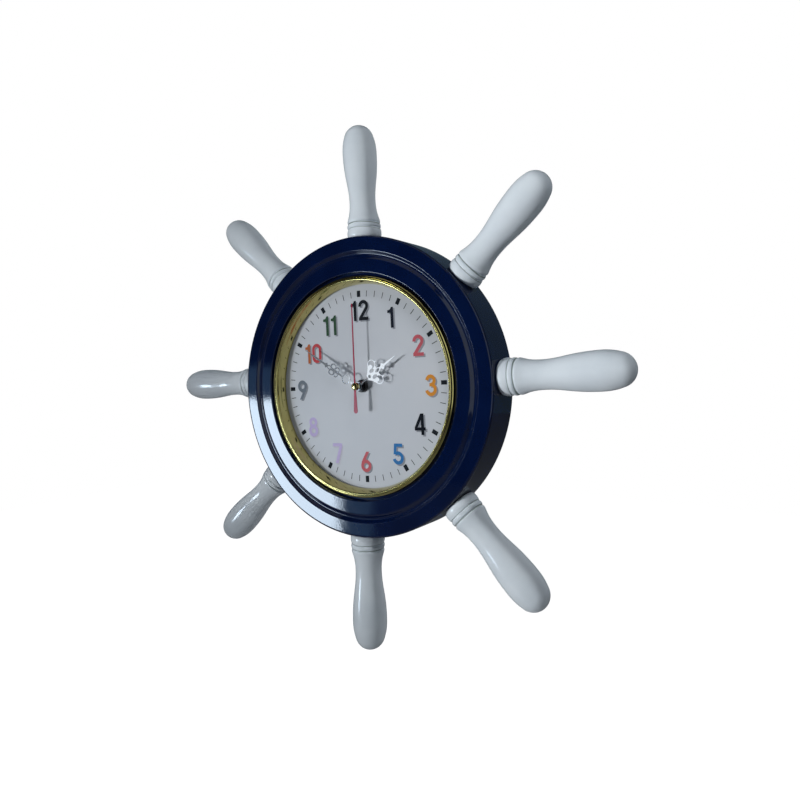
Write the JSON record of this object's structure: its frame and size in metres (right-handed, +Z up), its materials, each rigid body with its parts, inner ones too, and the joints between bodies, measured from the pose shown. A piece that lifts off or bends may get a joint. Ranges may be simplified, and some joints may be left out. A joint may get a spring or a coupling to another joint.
{
  "type": "ship's wheel wall clock",
  "caption": "Wall clock in a painted wooden ship's wheel with turned handles, brass bezel, numbered dial, openwork hands and a battery movement.",
  "frame": {"origin": "on the clock's axis at the wall plane, the flat back face of the wooden wheel", "axes": "-Y out of the dial towards the viewer, +Y into the wall, +Z up through the twelve o'clock handle, +X to the viewer's right"},
  "size_m": [0.4526, 0.0385, 0.4529],
  "materials": {
    "navy_paint": "gloss navy paint over turned wood",
    "white_paint": "gloss white paint over turned wood",
    "beech": "bare turned beech",
    "brass": "polished",
    "card": "satin laminated printed card",
    "hardboard": "plain hardboard",
    "steel": "plain",
    "black_plastic": "moulded",
    "rubber": "moulded",
    "silver": "bright stamped sheet",
    "red_lacquer": "gloss red lacquer",
    "grey_plastic": "moulded",
    "white_plastic": "moulded acetal",
    "copper": "enamelled copper wire, as one winding",
    "circuit_green": "solder mask",
    "cell_jacket": "plain printed jacket"
  },
  "bodies": {
    "clock_frame": {"wheel_body": "navy_paint", "bezel": "brass", "handle_1": "white_paint", "handle_2": "white_paint", "handle_3": "white_paint", "handle_4": "white_paint", "handle_5": "white_paint", "handle_6": "white_paint", "handle_7": "white_paint", "handle_8": "white_paint", "handle_dowel_1": "beech", "handle_dowel_2": "beech", "handle_dowel_3": "beech", "handle_dowel_4": "beech", "handle_dowel_5": "beech", "handle_dowel_6": "beech", "handle_dowel_7": "beech", "handle_dowel_8": "beech", "dial_card": "card", "dial_board": "hardboard", "board_screw_1": "steel", "board_screw_2": "steel", "board_screw_3": "steel", "board_screw_4": "steel", "hanger_plate": "steel", "hanger_screw_1": "steel", "hanger_screw_2": "steel", "stem_nut": "black_plastic", "rubber_washer": "rubber", "movement_case": "black_plastic", "movement_cover": "black_plastic", "middle_plate": "grey_plastic", "stator": "steel", "coil_core": "steel", "coil_bobbin": "white_plastic", "coil_winding": "copper", "circuit_board": "circuit_green", "quartz_crystal": "steel", "battery_cell": "cell_jacket", "contact_negative": "steel", "contact_positive": "steel"},
    "seconds": {"second_wheel": "white_plastic", "second_hand": "red_lacquer", "second_boss": "brass"},
    "minutes": {"minute_arbor": "steel", "minute_hand": "silver", "minute_nut": "brass"},
    "hours": {"hour_wheel": "black_plastic", "hour_hand": "silver"},
    "intermediate": {"intermediate_wheel": "white_plastic"},
    "step_rotor": {"rotor": "grey_plastic"},
    "third": {"third_wheel": "white_plastic"},
    "centre": {"centre_wheel": "white_plastic"},
    "motion": {"motion_wheel": "white_plastic"},
    "knob": {"setting_knob": "white_plastic"}
  },
  "joints": [
    {"name": "second_hand_turn", "type": "hinge", "parent": "clock_frame", "child": "seconds", "pos_m": [0, 0, 0], "axis": [0, 1, 0], "continuous": true},
    {"name": "minute_hand_turn", "type": "hinge", "parent": "clock_frame", "child": "minutes", "pos_m": [0, 0, 0], "axis": [0, 1, 0], "continuous": true},
    {"name": "hour_hand_turn", "type": "hinge", "parent": "clock_frame", "child": "hours", "pos_m": [0, 0, 0], "axis": [0, 1, 0], "continuous": true},
    {"name": "intermediate_turn", "type": "hinge", "parent": "clock_frame", "child": "intermediate", "pos_m": [-0.00748, 0, 0.00383], "axis": [0, 1, 0], "continuous": true},
    {"name": "rotor_turn", "type": "hinge", "parent": "clock_frame", "child": "step_rotor", "pos_m": [-0.01421, 0, 0.00727], "axis": [0, 1, 0], "continuous": true},
    {"name": "third_turn", "type": "hinge", "parent": "clock_frame", "child": "third", "pos_m": [0.01079, 0, 0.00055], "axis": [0, 1, 0], "continuous": true},
    {"name": "centre_turn", "type": "hinge", "parent": "clock_frame", "child": "centre", "pos_m": [0, 0, 0], "axis": [0, 1, 0], "continuous": true},
    {"name": "motion_turn", "type": "hinge", "parent": "clock_frame", "child": "motion", "pos_m": [-0.00044, 0, 0.00863], "axis": [0, 1, 0], "continuous": true},
    {"name": "knob_turn", "type": "hinge", "parent": "clock_frame", "child": "knob", "pos_m": [0.00682, 0, 0.01332], "axis": [0, 1, 0], "continuous": true}
  ],
  "couplings": [
    {"joint": "intermediate_turn", "follows": "second_hand_turn", "ratio": -5},
    {"joint": "rotor_turn", "follows": "second_hand_turn", "ratio": 30},
    {"joint": "third_turn", "follows": "second_hand_turn", "ratio": -0.125},
    {"joint": "centre_turn", "follows": "second_hand_turn", "ratio": 0.016667},
    {"joint": "hour_hand_turn", "follows": "minute_hand_turn", "ratio": 0.083333},
    {"joint": "motion_turn", "follows": "minute_hand_turn", "ratio": -0.33333},
    {"joint": "knob_turn", "follows": "minute_hand_turn", "ratio": 1}
  ]
}
